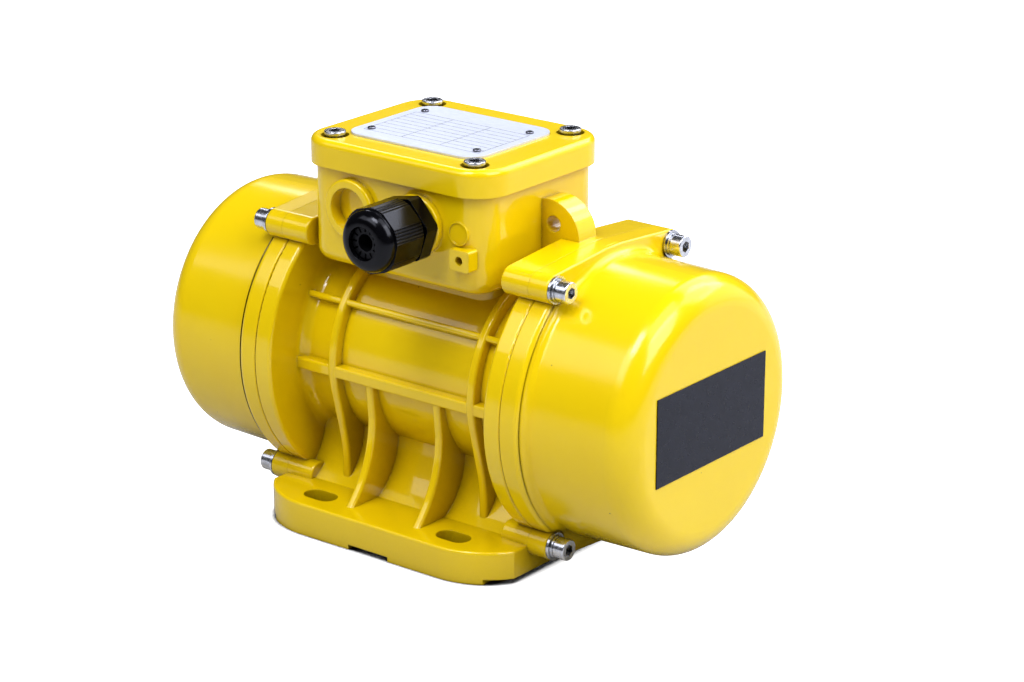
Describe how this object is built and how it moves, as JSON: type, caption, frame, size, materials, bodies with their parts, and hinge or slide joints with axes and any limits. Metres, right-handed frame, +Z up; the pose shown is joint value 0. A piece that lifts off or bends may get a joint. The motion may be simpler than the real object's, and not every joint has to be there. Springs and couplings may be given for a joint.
{
  "type": "electric vibrator",
  "caption": "Foot-mounted electric vibrator motor: ribbed cast housing with a terminal box and cable gland, two deep end covers over adjustable eccentric weights.",
  "frame": {"origin": "on the mounting plane under the middle of the foot, below the middle of the shaft", "axes": "+X along the shaft towards the labelled cover, -Y towards the cable gland side, +Z up from the foot"},
  "size_m": [0.2354, 0.1393, 0.1589],
  "materials": {
    "yellow_enamel": "glossy yellow enamel on an aluminium casting",
    "lamination_steel": "stacked electrical steel sheet",
    "copper": "varnished copper winding wire",
    "bare_aluminium": "bare cast aluminium",
    "black_rubber": "matt black rubber",
    "plated_steel": "bright zinc plated steel",
    "spring_steel": "blackened spring steel",
    "machined_steel": "turned steel",
    "grey_iron": "machined grey cast iron",
    "bearing_steel": "ground bearing steel",
    "black_label": "plain black film label with nothing on it",
    "plate_metal": "satin metal plate with nothing on it",
    "black_moulding": "matt moulded thermoset",
    "black_nylon": "semi-gloss black nylon",
    "brass": "plain brass"
  },
  "bodies": {
    "housing": {"motor_frame": "yellow_enamel", "stator_core": "lamination_steel", "stator_windings": "copper", "left_cover": "yellow_enamel", "right_cover": "yellow_enamel", "left_cover_seal": "black_rubber", "right_cover_seal": "black_rubber", "cover_screws": "plated_steel", "cover_washers": "plated_steel", "cover_spring_washers": "plated_steel", "end_label": "black_label", "left_bearing_flange": "grey_iron", "right_bearing_flange": "grey_iron", "left_bearing_outer_ring": "bearing_steel", "right_bearing_outer_ring": "bearing_steel", "terminal_lid": "yellow_enamel", "lid_gasket": "black_rubber", "lid_screws": "plated_steel", "nameplate": "plate_metal", "nameplate_rivets": "plate_metal", "terminal_block": "black_moulding", "terminal_studs": "brass", "terminal_links": "brass", "terminal_nuts": "brass", "block_screws": "plated_steel", "gland_washer": "black_rubber", "gland_body": "black_nylon", "gland_nut": "black_nylon", "gland_seal": "black_rubber", "gland_locknut": "black_nylon"},
    "rotor": {"shaft": "machined_steel", "rotor_core": "lamination_steel", "rotor_cage": "bare_aluminium", "left_bearing_inner_ring": "bearing_steel", "right_bearing_inner_ring": "bearing_steel", "left_fixed_weight": "grey_iron", "right_fixed_weight": "grey_iron", "left_weight_key": "machined_steel", "right_weight_key": "machined_steel", "left_shaft_clip": "spring_steel", "right_shaft_clip": "spring_steel"},
    "left_ball_set": {"left_bearing_balls": "bearing_steel", "left_bearing_cage": "machined_steel"},
    "left_adjustable": {"left_adjustable_weight": "grey_iron", "left_clamp_screw": "plated_steel"},
    "right_ball_set": {"right_bearing_balls": "bearing_steel", "right_bearing_cage": "machined_steel"},
    "right_adjustable": {"right_adjustable_weight": "grey_iron", "right_clamp_screw": "plated_steel"}
  },
  "joints": [
    {"name": "rotor_spin", "type": "hinge", "parent": "housing", "child": "rotor", "pos_m": [0, 0, 0.065], "axis": [1, 0, 0], "continuous": true},
    {"name": "left_ball_orbit", "type": "hinge", "parent": "housing", "child": "left_ball_set", "pos_m": [0, 0, 0.065], "axis": [1, 0, 0], "continuous": true},
    {"name": "right_ball_orbit", "type": "hinge", "parent": "housing", "child": "right_ball_set", "pos_m": [0, 0, 0.065], "axis": [1, 0, 0], "continuous": true},
    {"name": "left_weight_setting", "type": "hinge", "parent": "rotor", "child": "left_adjustable", "pos_m": [0, 0, 0.065], "axis": [1, 0, 0], "range_deg": [0, 180]},
    {"name": "right_weight_setting", "type": "hinge", "parent": "rotor", "child": "right_adjustable", "pos_m": [0, 0, 0.065], "axis": [1, 0, 0], "range_deg": [0, 180]}
  ],
  "couplings": [
    {"joint": "left_ball_orbit", "follows": "rotor_spin", "ratio": 0.3596},
    {"joint": "right_ball_orbit", "follows": "rotor_spin", "ratio": 0.3596}
  ]
}
